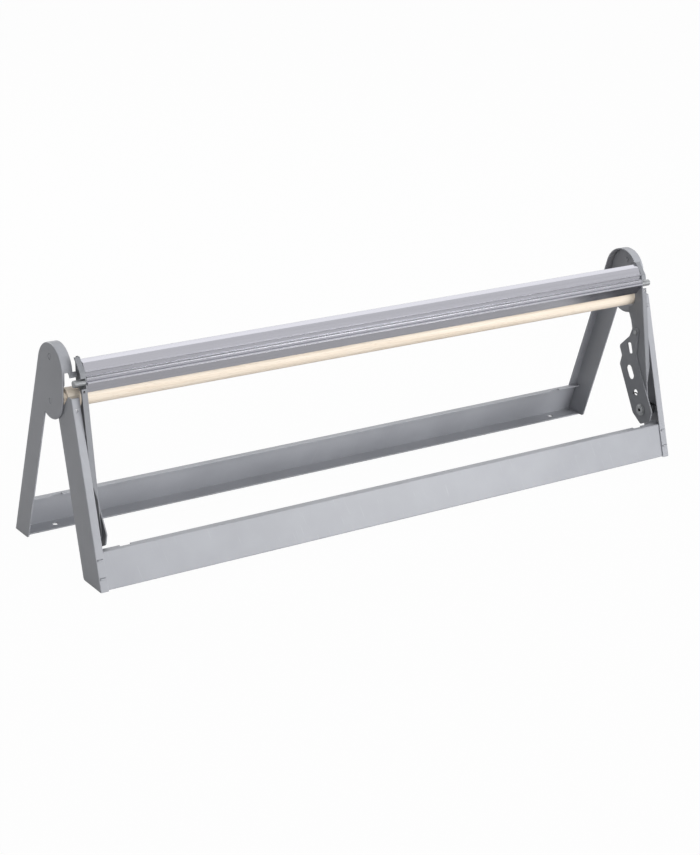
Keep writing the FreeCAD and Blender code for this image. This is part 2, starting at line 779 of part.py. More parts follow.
def build_cutter_arm(name, side):
    """Channel-edged arm that carries one end of the cutter bar."""
    body = new_body("cutter_arm_" + name)
    rear_top = (D["arm_rear_top_y"], ARM_TOP_Z)
    front_top = arm_top_line(ARM_TOP_Z)
    bend = arm_line(ARM_BEND_Z)
    web = [
        arm_line(D["pivot_z"]),
        bend,
        front_top,
        rear_top,
        (D["arm_rear_y"], TOP - D["arm_step_high_drop"]),
        arm_line(TOP - D["arm_step_low_drop"], D["arm_strip_width"]),
        arm_line(D["pivot_z"], D["arm_strip_width"]),
    ]
    mitre = (SHEET / ARM_COS - SHEET / ARM_TOP_SIN) / (ARM_TOP_COT - ARM_TAN)
    fold_corner = arm_line(ARM_BEND_Z + mitre, SHEET)
    fold = [
        arm_line(ARM_FLANGE_LOW_Z),
        bend,
        front_top,
        arm_top_line(ARM_TOP_Z, SHEET),
        fold_corner,
        arm_line(ARM_FLANGE_LOW_Z, SHEET),
    ]
    pad(body, "web", side, ARM_INNER, ARM_OUTER, [web])
    pad(body, "lug", side, ARM_INNER, ARM_OUTER, circles=[(PIVOT, D["lug_radius"])])
    pad(body, "fold", side, ARM_OUTER, ARM_FLANGE_OUTER, [fold])
    taper = [
        (ARM_OUTER * side, ARM_FLANGE_LOW_Z - SHEET),
        ((ARM_FLANGE_OUTER + SHEET) * side, ARM_FLANGE_FULL_Z),
        ((ARM_FLANGE_OUTER + SHEET) * side, ARM_FLANGE_LOW_Z - SHEET),
    ]
    add_feature(body, "Pocket", "taper", "XZ_Plane", as_size(0), -ARM_FOOT, [taper], [])
    cut_arm(body, side)
    round_corners(body, "fold_inside", D["arm_top_radius"] - SHEET, [fold_corner])
    round_corners(body, "top_corners", D["arm_top_radius"], [bend, rear_top])
    round_bend(body, "bend", side, ARM_INNER, arm_line)
    return body


def cut_arm(body, side):
    """Cut an arm's holes, its clearance round the rod, and the notch and sight hole in its flange."""
    rod_clearance = D["rod_radius"] + D["arm_rod_clearance"]
    holes = [
        (PIVOT, D["stud_radius"] + D["running_gap"]),
        (PIN, D["pin_tail_radius"] + D["rivet_fit"]),
        (plate_point(PLATE_RIVET), D["rivet_radius"] + D["rivet_fit"]),
    ]
    holes += [(port, D["port_radius"]) for port in bar_ports()]
    pocket(body, "rod_clearance", side, ARM_INNER, ARM_OUTER, circles=[(ROD, rod_clearance)])
    pocket(body, "holes", side, ARM_INNER, ARM_OUTER, circles=holes)
    half = D["pin_radius"] + D["pin_notch"]
    low, high = PIN[1] - half, PIN[1] + half
    notch = [
        arm_line(low, -SHEET),
        arm_line(high, -SHEET),
        arm_line(high, SHEET * 2),
        arm_line(low, SHEET * 2),
    ]
    pocket(body, "pin_notch", side, ARM_OUTER, ARM_FLANGE_OUTER, [notch])
    sight = ((ARM_OUTER + ARM_FLANGE_OUTER) / 2 * side, PIN[1] - D["sight_hole_drop"])
    add_feature(body, "Pocket", "sight_hole", "XZ_Plane", -D["pin_y"], -ARM_FOOT, [],
                [(sight, D["sight_hole_radius"])])


def build_slotted_plate(name, side):
    """Plate on an arm's inner face, with slots to lighten it and the hole that the spring pulls on."""
    body = new_body("slotted_plate_" + name)
    outline = plate_points(PLATE_TAB + PLATE_NECK + PLATE_FOOT + PLATE_FRONT)
    slot = oval_slot()
    neck_slot = plate_points(NECK_SLOT)
    pad(body, "sheet", side, PLATE_INNER, ARM_INNER, [outline])
    pocket(body, "slots", side, PLATE_INNER, ARM_INNER, [slot, neck_slot])
    holes = [
        (PIVOT, D["stud_radius"] + D["running_gap"]),
        (plate_point(SPRING_HOLE), D["plate_hole_radius"]),
        (plate_point(PLATE_RIVET), D["rivet_radius"] + D["rivet_fit"]),
    ]
    pocket(body, "holes", side, PLATE_INNER, ARM_INNER, circles=holes)
    round_corners(body, "slot_ends", D["plate_slot_width"] * 0.49, slot)
    corners = plate_points(PLATE_TAB + PLATE_NECK + PLATE_FOOT)
    round_corners(body, "outline", D["plate_corner_radius"], corners)
    round_corners(body, "neck_slot", D["plate_corner_radius"] / 2, neck_slot)
    return body


def oval_slot():
    """Corners of the long slot, along the plate."""
    centre = plate_point(OVAL_SLOT)
    cos_slot, sin_slot = cosine(D["plate_slot_angle"]), sine(D["plate_slot_angle"])
    corners = []
    for along, across in ((1, 1), (1, -1), (-1, -1), (-1, 1)):
        forth = D["plate_slot_length"] / 2 * along
        aside = D["plate_slot_width"] / 2 * across
        dy = forth * cos_slot - aside * sin_slot
        dz = forth * sin_slot + aside * cos_slot
        corners.append(moved(centre, dy, dz))
    return corners


def build_plate_rivet(name, side):
    body = new_body("plate_rivet_" + name)
    spot = plate_point(PLATE_RIVET)
    head = [(spot, D["rivet_head_radius"])]
    pad(body, "shank", side, PLATE_INNER, ARM_OUTER, circles=[(spot, D["rivet_radius"])])
    pad(body, "outer_head", side, ARM_OUTER, ARM_OUTER + D["shop_head_height"], circles=head)
    pad(body, "inner_head", side, PLATE_INNER - D["shop_head_height"], PLATE_INNER, circles=head)
    return body


def build_keeper_pin(name, side):
    """Pin on an arm that closes the mouth of the rod's pocket while the cutter rests."""
    body = new_body("keeper_pin_" + name)
    pad(body, "pin", side, ARM_OUTER, ARM_OUTER + D["pin_length"], circles=[(PIN, D["pin_radius"])])
    pad(body, "tail", side, ARM_INNER, ARM_OUTER, circles=[(PIN, D["pin_tail_radius"])])
    tip = side * (ARM_OUTER + D["pin_length"]).value
    dress(body, "Fillet", "tip", "Radius", D["pin_radius"] / 4,
          lambda edge: abs(edge.CenterOfMass.x - tip) < 1e-4)
    return body


BAR_TOP = (D["bar_top_y"], TOP - D["bar_top_drop"])
BAR_CREASE = (D["bar_crease_y"], TOP - D["bar_crease_drop"])
BAR_UPPER = (D["bar_upper_y"], TOP - D["bar_upper_drop"])
BAR_NOSE = (D["bar_nose_y"], TOP - D["bar_nose_drop"])
BAR_LOWER = (D["bar_lower_y"], TOP - D["bar_lower_drop"])


def bar_ports():
    """Centres of the two screw ports inside the bar."""
    wall = D["bar_wall"]
    return [moved(BAR_CREASE, wall, wall * -2.4), moved(BAR_LOWER, wall * 0.6, wall * 2.15)]


def band_length():
    dy, dz = BAR_NOSE[0] - BAR_UPPER[0], BAR_NOSE[1] - BAR_UPPER[1]
    return root(dy * dy + dz * dz)


def band_point(along, out):
    """Place on the ribbed band: along it from its upper corner, and out from it."""
    length = band_length()
    way_y, way_z = (BAR_NOSE[0] - BAR_UPPER[0]) / length, (BAR_NOSE[1] - BAR_UPPER[1]) / length
    return moved(BAR_UPPER, way_y * along + way_z * out, way_z * along - way_y * out)


def build_cutter_bar():
    """Ribbed extrusion, open at the back, with a slot for the blade and two screw ports."""
    body = new_body("cutter_bar")
    wall = D["bar_wall"]
    length = band_length()
    middle = length / 2
    ridge, width, floor = D["ridge_height"], D["ridge_width"], -D["groove_depth"]
    slot = D["blade_thickness"] / 2 + D["blade_fit"]
    seat = slot + D["seat_width"]
    slot_floor = D["blade_proud"] - D["blade_width"] - D["blade_fit"]
    seat_back = slot_floor - wall / 2
    band = [
        (as_size(0), as_size(0)),
        (width * 0.15, ridge),
        (width, ridge),
        (width * 1.15, as_size(0)),
        (middle - seat, floor),
        (middle - slot - D["seat_width"] / 2, as_size(0)),
        (middle - slot, as_size(0)),
        (middle - slot, slot_floor),
        (middle + slot, slot_floor),
        (middle + slot, as_size(0)),
        (middle + seat, as_size(0)),
        (length - width * 1.15, floor),
        (length - width, ridge),
        (length - width * 0.15, ridge),
        (length, as_size(0)),
    ]
    seat_inside = [
        (middle + seat, -wall),
        (middle + seat, seat_back),
        (middle - seat, seat_back),
        (middle - seat, -wall),
    ]
    outside = [BAR_TOP, BAR_CREASE] + [band_point(*place) for place in band] + [BAR_LOWER]
    inside = [moved(BAR_LOWER, wall, wall * 0.39), moved(BAR_NOSE, wall * 1.21, wall * 0.04)]
    inside += [band_point(*place) for place in seat_inside]
    inside += [
        moved(BAR_UPPER, wall * 0.93, wall * -0.54),
        moved(BAR_CREASE, wall * 0.57, wall * -0.93),
        moved(BAR_TOP, 0.0, wall * -1.07),
    ]
    pad(body, "section", 1, -ARM_INNER, ARM_INNER, [outside + inside])
    ports = [(port, D["port_radius"]) for port in bar_ports()]
    walls = [(port, D["port_radius"] + D["port_wall"]) for port in bar_ports()]
    pad(body, "port_walls", 1, -ARM_INNER, ARM_INNER, circles=walls)
    pocket(body, "ports", 1, -ARM_INNER, ARM_INNER, circles=ports)
    return body


def build_cutter_blade():
    """Steel strip with one bevelled edge, let into the bar's slot."""
    body = new_body("cutter_blade")
    middle = band_length() / 2
    half = D["blade_thickness"] / 2
    edge = D["blade_proud"]
    back = edge - D["blade_width"]
    shoulder = edge - D["blade_bevel"]
    places = [
        (middle - half, back),
        (middle - half, shoulder),
        (middle, edge),
        (middle + half, shoulder),
        (middle + half, back),
    ]
    reach = ARM_INNER - D["blade_end_gap"]
    pad(body, "strip", 1, -reach, reach, [[band_point(*place) for place in places]])
    return body


def build_bar_screws(name, side):
    """Two slotted screws that hold one end of the bar to its arm."""
    body = new_body("bar_screws_" + name)
    crown = ARM_OUTER + D["screw_head_height"]
    shanks = [(port, D["port_radius"] - D["screw_fit"]) for port in bar_ports()]
    heads = [(port, D["screw_head_radius"]) for port in bar_ports()]
    pad(body, "shanks", side, ARM_INNER - D["screw_length"], ARM_OUTER, circles=shanks)
    pad(body, "heads", side, ARM_OUTER, crown, circles=heads)
    half, reach = D["driver_slot_width"] / 2, D["screw_head_radius"] * 1.2
    slots = [
        [moved(port, dy, dz) for dy, dz in ((-reach, -half), (reach, -half), (reach, half), (-reach, half))]
        for port in bar_ports()
    ]
    pocket(body, "driver_slots", side, crown - D["driver_slot_depth"], crown, slots)
    return body


def build_roll_rod():
    """Wooden dowel that the paper roll turns on, with ends turned down to lie in the legs' pockets."""
    body = new_body("roll_rod")
    reach = CAP_INNER - D["rod_end_gap"]
    shoulder = LEG_INNER - D["side_gap"]
    pad(body, "dowel", 1, -shoulder, shoulder, circles=[(ROD, D["rod_radius"])])
    pad(body, "tenons", 1, -reach, reach, circles=[(ROD, D["tenon_radius"])])
    dress(body, "Chamfer", "ends", "Size", D["rod_chamfer"],
          lambda edge: abs(abs(edge.CenterOfMass.x) - reach.value) < 1e-4)
    return body


# Whole object


def build_all():
    pieces = [
        build_rail("front_rail", front_line, 1, FLANGE_INNER, LEG_INNER),
        build_rail("rear_rail", rear_line, -1, RIM_INNER, CAP_INNER),
        build_cutter_bar(),
        build_cutter_blade(),
        build_roll_rod(),
    ]
    paired = (
        build_rear_leg,
        build_front_leg,
        build_cap_rivets,
        build_pivot_stud,
        build_pivot_washer,
        build_spring,
        build_cutter_arm,
        build_slotted_plate,
        build_plate_rivet,
        build_keeper_pin,
        build_bar_screws,
    )
    for build in paired:
        for name, side in SIDES.items():
            pieces.append(build(name, side))
    doc.recompute()
    return pieces


def export(pieces):
    """Test every object of the document, then write one file per piece."""
    for item in doc.Objects:
        if "Invalid" in item.State or "Error" in item.State:
            raise RuntimeError(item.Name + " is in the state " + str(item.State))
    os.makedirs("parts", exist_ok=True)
    for piece in pieces:
        if piece.Shape.isNull() or not piece.Shape.isValid():
            raise RuntimeError(piece.Label + " has no valid shape")
        piece.Shape.exportStep("parts/" + piece.Label + ".step")
        print(piece.Label, len(piece.Shape.Solids), round(piece.Shape.Volume, 1))


export(build_all())
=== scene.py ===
"""Looks of the countertop paper roll dispenser and cutter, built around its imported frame."""

import json
import logging
import math
from dataclasses import dataclass, field
from enum import Enum

import bmesh
import bpy
from mathutils import Matrix, Vector


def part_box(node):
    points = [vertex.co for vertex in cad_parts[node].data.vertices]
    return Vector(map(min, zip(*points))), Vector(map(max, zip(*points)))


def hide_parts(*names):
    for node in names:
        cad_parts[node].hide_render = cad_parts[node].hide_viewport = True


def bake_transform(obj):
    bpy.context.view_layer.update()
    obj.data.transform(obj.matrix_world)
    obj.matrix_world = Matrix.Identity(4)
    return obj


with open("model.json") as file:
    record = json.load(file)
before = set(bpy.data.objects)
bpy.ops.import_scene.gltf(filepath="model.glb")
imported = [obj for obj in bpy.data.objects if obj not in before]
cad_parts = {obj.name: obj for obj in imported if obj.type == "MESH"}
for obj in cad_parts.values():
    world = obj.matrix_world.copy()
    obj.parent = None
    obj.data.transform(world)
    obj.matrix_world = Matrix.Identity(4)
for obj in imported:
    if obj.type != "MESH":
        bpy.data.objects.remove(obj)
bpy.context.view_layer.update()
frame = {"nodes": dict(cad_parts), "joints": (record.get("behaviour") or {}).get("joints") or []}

MM = 0.001
IMAGE_SIZE_PX = (700, 855)
SENSOR_MM = 36.0
WHITE = (1.0, 1.0, 1.0, 1.0)
NOISE_SPAN = (0.35, 0.65)
EDGE_SAMPLES = 6
log = logging.getLogger("paper_cutter")


class Side(Enum):
    """The two ends of the frame, by the sign of their X."""

    LEFT = -1
    RIGHT = 1

    @property
    def word(self) -> str:
        """The end's name as the nodes spell it."""
        return self.name.lower()


def linear(hex_colour: str) -> tuple[float, float, float, float]:
    """Turn an sRGB hex colour into linear values.

    Args:
        hex_colour: six hex digits.

    Returns:
        Linear red, green, blue and an alpha of one.
    """
    channels = [int(hex_colour[place:place + 2], 16) / 255.0 for place in (0, 2, 4)]
    values = [c / 12.92 if c <= 0.04045 else ((c + 0.055) / 1.055) ** 2.4 for c in channels]
    return (values[0], values[1], values[2], 1.0)


def add_node(tree: bpy.types.NodeTree, kind: str, inputs: dict | None = None,
             **settings: object) -> bpy.types.Node:
    """Add one node with its settings and links.

    Args:
        tree: the node tree that gets the node.
        kind: the node's type name.
        inputs: values or output sockets by input name or number.
        settings: properties of the node itself.

    Returns:
        The new node.
    """
    node = tree.nodes.new(kind)
    for name, value in settings.items():
        setattr(node, name, value)
    for key, value in (inputs or {}).items():
        if isinstance(value, bpy.types.NodeSocket):
            tree.links.new(value, node.inputs[key])
        else:
            node.inputs[key].default_value = value
    return node


def per_metre(size_mm: float) -> float:
    """Texture scale at which one feature of a noise spans a size in millimetres."""
    return 1.0 / (size_mm * MM)


def new_material(name: str) -> tuple[bpy.types.Material, bpy.types.NodeTree]:
    """Make an empty node material.

    Args:
        name: the material's name.

    Returns:
        The material and its cleared node tree.
    """
    material = bpy.data.materials.new(name)
    material.use_nodes = True
    material.node_tree.nodes.clear()
    return material, material.node_tree


def stretched_noise(tree: bpy.types.NodeTree, sizes_mm: tuple[float, float, float], detail: float,
                    turn: tuple[float, float, float] = (0.0, 0.0, 0.0)) -> bpy.types.NodeSocket:
    """Add noise whose features have their own size along each axis of the object.

    Args:
        tree: the node tree that gets the nodes.
        sizes_mm: feature size along X, Y and Z.
        detail: octaves of finer noise.
        turn: turn of the pattern about X, Y and Z, in radians.

    Returns:
        The noise's value socket.
    """
    place = add_node(tree, "ShaderNodeTexCoord")
    scale = tuple(per_metre(size) for size in sizes_mm)
    turned = add_node(tree, "ShaderNodeMapping", {"Vector": place.outputs["Object"], "Rotation": turn})
    mapping = add_node(tree, "ShaderNodeMapping", {"Vector": turned.outputs["Vector"], "Scale": scale})
    noise = add_node(tree, "ShaderNodeTexNoise", {
        "Vector": mapping.outputs["Vector"],
        "Scale": 1.0,
        "Detail": detail,
    })
    return noise.outputs["Fac"]


def colour_ramp(tree: bpy.types.NodeTree, factor: bpy.types.NodeSocket, low: str,
                high: str) -> bpy.types.NodeSocket:
    """Add a ramp between two colours over the middle of a noise's range.

    Args:
        tree: the node tree that gets the ramp.
        factor: the socket that drives it.
        low: hex colour of the first stop.
        high: hex colour of the second stop.

    Returns:
        The ramp's colour socket.
    """
    ramp = add_node(tree, "ShaderNodeValToRGB", {"Fac": factor})
    for stop, place, colour in zip(ramp.color_ramp.elements, NOISE_SPAN, (low, high)):
        stop.position = place
        stop.color = linear(colour)
    return ramp.outputs["Color"]


def remap(tree: bpy.types.NodeTree, value: bpy.types.NodeSocket, source: tuple[float, float],
          target: tuple[float, float]) -> bpy.types.NodeSocket:
    """Carry a value from one range to another, clamped.

    Args:
        tree: the node tree that gets the node.
        value: the socket to carry over.
        source: ends of the range that it comes from.
        target: ends of the range that it goes to.

    Returns:
        The new value's socket.
    """
    ends = dict(zip(("From Min", "From Max", "To Min", "To Max"), source + target))
    return add_node(tree, "ShaderNodeMapRange", {"Value": value, **ends}).outputs["Result"]


def blend_colours(tree: bpy.types.NodeTree, factor: bpy.types.NodeSocket, base: bpy.types.NodeSocket,
                  over: str) -> bpy.types.NodeSocket:
    """Lay a plain colour over a pattern where a mask says so.

    Args:
        tree: the node tree that gets the node.
        factor: the mask, from nought to one.
        base: the pattern's colour.
        over: hex colour that shows where the mask is one.

    Returns:
        The mixed colour's socket.
    """
    mix = add_node(tree, "ShaderNodeMix", {0: factor, 6: base, 7: linear(over)}, data_type="RGBA")
    return mix.outputs[2]


def mix_values(tree: bpy.types.NodeTree, share: float, first: bpy.types.NodeSocket,
               second: bpy.types.NodeSocket) -> bpy.types.NodeSocket:
    """Mix two patterns.

    Args:
        tree: the node tree that gets the node.
        share: how much of the second pattern shows.
        first: value of the first pattern.
        second: value of the second pattern.

    Returns:
        The mixed value's socket.
    """
    return add_node(tree, "ShaderNodeMix", {0: share, 2: first, 3: second}).outputs[0]


def worn_edges(tree: bpy.types.NodeTree, rounded: bpy.types.Node,
               patchy: bpy.types.NodeSocket) -> bpy.types.NodeSocket:
    """Mask the folds and edges, lighter there partly as rubbed wear and partly as a painted highlight,
    broken up by a noise.

    Args:
        tree: the node tree that gets the nodes.
        rounded: the node that rounds the edges.
        patchy: noise that breaks the wear and the painted highlight up.

    Returns:
        The mask's socket, one where the finish is rubbed most and the painted highlight brightest.
    """
    face = add_node(tree, "ShaderNodeNewGeometry")
    lean = add_node(tree, "ShaderNodeVectorMath", {0: rounded.outputs["Normal"], 1: face.outputs["Normal"]},
                    operation="DOT_PRODUCT")
    # Lighter edges and folds: partly rubbed wear, partly a painted highlight.
    flat_to_edge, least_patch_share = (0.985, 0.8), 0.15
    edge = remap(tree, lean.outputs["Value"], flat_to_edge, (0.0, 1.0))
    patch_share = remap(tree, patchy, (0.4, 0.65), (least_patch_share, 1.0))
    return add_node(tree, "ShaderNodeMath", {0: edge, 1: patch_share}, operation="MULTIPLY").outputs[0]


@dataclass(frozen=True)
class Enamel:
    """Stoved enamel on sheet steel: an even colour, a soft sheen, a faint orange peel and lighter folds,
    partly rubbed wear and partly a painted highlight.
    """

    name: str
    colour: str
    pale: str
    # Lighter colour on folds and scuffs: wear on the scuffs, and partly a painted highlight on the folds.
    rubbed: str
    cloud_mm: float = 70.0
    peel_mm: float = 2.4
    peel_depth_mm: float = 0.03
    fold_mm: float = 0.6
    rub_mm: float = 9.0
    scuff_mm: tuple[float, float, float] = (60.0, 0.8, 22.0)
    scuff_turn: tuple[float, float, float] = (0.6, 0.5, 0.9)
    scuff_span: tuple[float, float] = (0.76, 0.82)
    scuff_share: float = 0.2
    roughness: tuple[float, float] = (0.32, 0.4)
    specular: float = 0.35
    coat: float = 0.12
    coat_roughness: float = 0.16
    ior: float = 1.5

    def make(self) -> bpy.types.Material:
        """Build the enamel's material."""
        material, tree = new_material(self.name)
        cloud = stretched_noise(tree, (self.cloud_mm,) * 3, 3.0)
        peel = stretched_noise(tree, (self.peel_mm,) * 3, 1.0)
        rounded = add_node(tree, "ShaderNodeBevel", {"Radius": self.fold_mm * MM}, samples=EDGE_SAMPLES)
        rub_and_highlight = worn_edges(tree, rounded, stretched_noise(tree, (self.rub_mm,) * 3, 4.0))
        scratch = stretched_noise(tree, self.scuff_mm, 0.0, self.scuff_turn)
        scuffs = remap(tree, scratch, self.scuff_span, (0.0, self.scuff_share))
        # Scuffs are wear; the lighter folds are partly wear and partly a painted highlight.
        rubbed = add_node(tree, "ShaderNodeMath", {0: rub_and_highlight, 1: scuffs}, operation="MAXIMUM").outputs[0]
        bump = add_node(tree, "ShaderNodeBump", {
            "Height": peel,
            "Distance": self.peel_depth_mm * MM,
            "Normal": rounded.outputs["Normal"],
        })
        even = colour_ramp(tree, cloud, self.colour, self.pale)
        shader = add_node(tree, "ShaderNodeBsdfPrincipled", {
            "Base Color": blend_colours(tree, rubbed, even, self.rubbed),
            "Roughness": remap(tree, cloud, (0.3, 0.7), self.roughness),
            "IOR": self.ior,
            "Specular IOR Level": self.specular,
            "Coat Weight": self.coat,
            "Coat Roughness": self.coat_roughness,
            "Normal": bump.outputs["Normal"],
        })
        add_node(tree, "ShaderNodeOutputMaterial", {"Surface": shader.outputs["BSDF"]})
        return material


@dataclass(frozen=True)
class BareMetal:
    """Bare or plated metal: the marks of how it was made, a cloudy tarnish and paler edges, polished by use
    and, on the bar, partly a painted glint.
    """

    name: str
    colour: str
    pale: str
    # Paler edge colour: polished wear, and on the bar's grooves partly a painted glint.
    polished: str
    marks_mm: tuple[float, float, float]
    marks_depth_mm: float
    cloud_mm: tuple[float, float, float]
    roughness: tuple[float, float]
    edge_mm: float = 0.3
    marks_share: float = 0.35

    def make(self) -> bpy.types.Material:
        """Build the metal's material."""
        material, tree = new_material(self.name)
        marks = stretched_noise(tree, self.marks_mm, 2.0)
        cloud = stretched_noise(tree, self.cloud_mm, 3.0)
        both = mix_values(tree, self.marks_share, cloud, marks)
        rounded = add_node(tree, "ShaderNodeBevel", {"Radius": self.edge_mm * MM}, samples=EDGE_SAMPLES)
        rub_and_highlight = worn_edges(tree, rounded, cloud)
        bump = add_node(tree, "ShaderNodeBump", {
            "Height": marks,
            "Distance": self.marks_depth_mm * MM,
            "Normal": rounded.outputs["Normal"],
        })
        dull = colour_ramp(tree, both, self.colour, self.pale)
        # Paler edges: polished wear, and partly a painted glint on the bar.
        shader = add_node(tree, "ShaderNodeBsdfPrincipled", {
            "Base Color": blend_colours(tree, rub_and_highlight, dull, self.polished),
            "Roughness": remap(tree, both, NOISE_SPAN, self.roughness),
            "Metallic": 1.0,
            "Normal": bump.outputs["Normal"],
        })
        add_node(tree, "ShaderNodeOutputMaterial", {"Surface": shader.outputs["BSDF"]})
        return material


@dataclass(frozen=True)
class SandedWood:
    """Sanded bare wood: broad soft bands, fine straight grain along the length and short dark flecks."""

    name: str
    colour: str
    pale: str
    fleck: str
    band_mm: tuple[float, float, float] = (260.0, 5.0, 5.0)
    grain_mm: tuple[float, float, float] = (90.0, 0.9, 0.9)
    fleck_mm: tuple[float, float, float] = (7.0, 0.5, 0.5)
    grain_depth_mm: float = 0.03
    grain_share: float = 0.5
    fleck_span: tuple[float, float] = (0.64, 0.74)
    fleck_share: float = 0.45
    roughness: tuple[float, float] = (0.52, 0.66)
    ior: float = 1.5

    def make(self) -> bpy.types.Material:
        """Build the wood's material."""
        material, tree = new_material(self.name)
        band = stretched_noise(tree, self.band_mm, 2.0)
        grain = stretched_noise(tree, self.grain_mm, 4.0)
        both = mix_values(tree, self.grain_share, band, grain)
        spots = stretched_noise(tree, self.fleck_mm, 1.0)
        flecks = remap(tree, spots, self.fleck_span, (0.0, self.fleck_share))
        bump = add_node(tree, "ShaderNodeBump", {"Height": grain, "Distance": self.grain_depth_mm * MM})
        bare = colour_ramp(tree, both, self.colour, self.pale)
        shader = add_node(tree, "ShaderNodeBsdfPrincipled", {
            "Base Color": blend_colours(tree, flecks, bare, self.fleck),
            "Roughness": remap(tree, grain, NOISE_SPAN, self.roughness),
            "IOR": self.ior,
            "Normal": bump.outputs["Normal"],
        })
        add_node(tree, "ShaderNodeOutputMaterial", {"Surface": shader.outputs["BSDF"]})
        return material


Finish = Enamel | BareMetal | SandedWood

# Stoved grey enamel on the folded steel of the frame: a cool mid grey whose folds are painted lighter,
# partly as rubbed wear and partly as a painted highlight.
GREY_ENAMEL = Enamel("stoved_grey_enamel", "989AA0", "A0A2A8", "B9BBC0")
# Darker enamel with less sheen on the moving arms: a darker copy of the frame's grey, whose darker tone is
# painted shade, the shade that the arms sit in beside the brighter legs.
SHADED_ARM_ENAMEL = Enamel("dull_grey_enamel_painted_shade", "7F8186", "87898E", "A0A2A6", roughness=(0.42, 0.5), coat=0.05)
# Mill-finish extruded aluminium: bright and cool, with faint die lines along the bar; its paler groove edges
# are partly a painted glint.
# Real die lines are some 0.2 mm apart; these are drawn wider so that they show.
MILL_ALUMINIUM = BareMetal("mill_aluminium", "ABABB2", "B6B6BD", "D2D2D8", (6000.0, 0.9, 0.9), 0.0015,
                           (1500.0, 6.0, 6.0), (0.22, 0.28), 0.5)
# Sanded birch dowel: pale pinkish cream with fine straight grain.
SANDED_BIRCH = SandedWood("sanded_birch", "D8C9B6", "ECE1D2", "B99F85")
# Dull zinc plate on small turned and headed pieces: a soft grey metal with a fine spangle.
ZINC_PLATE = BareMetal("dull_zinc_plate", "8E9092", "A2A4A6", "B8BABC", (1.2, 1.2, 1.2), 0.006,
                       (5.0, 5.0, 5.0), (0.34, 0.46))
# Oil-tempered spring wire: nearly black with a low gloss, rubbed paler where coils touch.
SPRING_WIRE = BareMetal("oil_tempered_wire", "2E2F31", "3C3D3F", "58595B", (0.8, 0.8, 0.8), 0.004,
                        (4.0, 4.0, 4.0), (0.36, 0.48))
# Ground steel strip: cool and bright, with the grinding lines along it.
# The lines are drawn wider than real ones so that they show.
GROUND_STEEL = BareMetal("ground_steel", "A3A5A8", "B4B6B9", "D0D2D4", (60.0, 0.6, 0.6), 0.004,
                         (120.0, 8.0, 8.0), (0.28, 0.38))


class FinishRack:
    """Makes each finish once and puts it on the pieces."""

    def __init__(self) -> None:
        """Start with no finish made."""
        self.made: dict[Finish, bpy.types.Material] = {}

    def dress(self, piece: bpy.types.Object, finish: Finish) -> None:
        """Give a piece a finish.

        Args:
            piece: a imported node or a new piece.
            finish: the finish that it gets.
        """
        if finish not in self.made:
            self.made[finish] = finish.make()
        piece.data.materials.clear()
        piece.data.materials.append(self.made[finish])
        log.info("%s: %s", piece.name, finish.name)

    def dress_nodes(self, names: tuple[str, ...], finish: Finish) -> None:
        """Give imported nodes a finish.

        Args:
            names: node names, where a stem that no node has stands for its left and right nodes.
            finish: the finish that they get.
        """
        for name in names:
            ends = (name,) if name in frame["nodes"] else tuple(f"{name}_{side.word}" for side in Side)
            for node in ends:
                self.dress(frame["nodes"][node], finish)


@dataclass
class EndFrames:
    """The two A-shaped ends of folded steel and the rails that tie them, painted after they are joined."""

    painted: tuple[str, ...] = ("rear_leg", "front_leg", "cap_rivets", "front_rail", "rear_rail")
    paint: Enamel = GREY_ENAMEL

    def dress(self, rack: FinishRack) -> None:
        """Paint the legs, rails and rivets alike."""
        rack.dress_nodes(self.painted, self.paint)


@dataclass
class CutterUnit:
    """The swinging cutter: painted arms and plates, the extruded bar, its blade and the plated fasteners."""

    painted: tuple[str, ...] = ("cutter_arm", "slotted_plate")
    plated: tuple[str, ...] = ("plate_rivet", "keeper_pin", "bar_screws", "pivot_stud", "pivot_washer")
    # The arms' darker enamel is painted shade.
    paint: Enamel = SHADED_ARM_ENAMEL
    bar_finish: BareMetal = MILL_ALUMINIUM
    blade_finish: BareMetal = GROUND_STEEL
    plating: BareMetal = ZINC_PLATE

    def dress(self, rack: FinishRack) -> None:
        """Give each kind of piece its finish.

        Args:
            rack: where the finishes are made.
        """
        rack.dress_nodes(self.painted, self.paint)
        rack.dress_nodes(("cutter_bar",), self.bar_finish)
        rack.dress_nodes(("cutter_blade",), self.blade_finish)
        rack.dress_nodes(self.plated, self.plating)


@dataclass
class RollRod:
    """The bare wooden dowel that carries the paper roll."""

    wood: SandedWood = SANDED_BIRCH

    def dress(self, rack: FinishRack) -> None:
        """Show the bare wood."""
        rack.dress_nodes(("roll_rod",), self.wood)


def mesh_object(name: str, shape: bmesh.types.BMesh, smooth: bool = True) -> bpy.types.Object:
    """Turn a bmesh into an object of the scene.

    Args:
        name: the object's name.
        shape: the finished bmesh, which is freed.
        smooth: whether its faces are shaded smooth.

    Returns:
        The object, at the origin.
    """
    bmesh.ops.recalc_face_normals(shape, faces=shape.faces)
    mesh = bpy.data.meshes.new(name)
    shape.to_mesh(mesh)
    shape.free()
    for face in mesh.polygons:
        face.use_smooth = smooth
    piece = bpy.data.objects.new(name, mesh)
    bpy.context.scene.collection.objects.link(piece)
    return piece


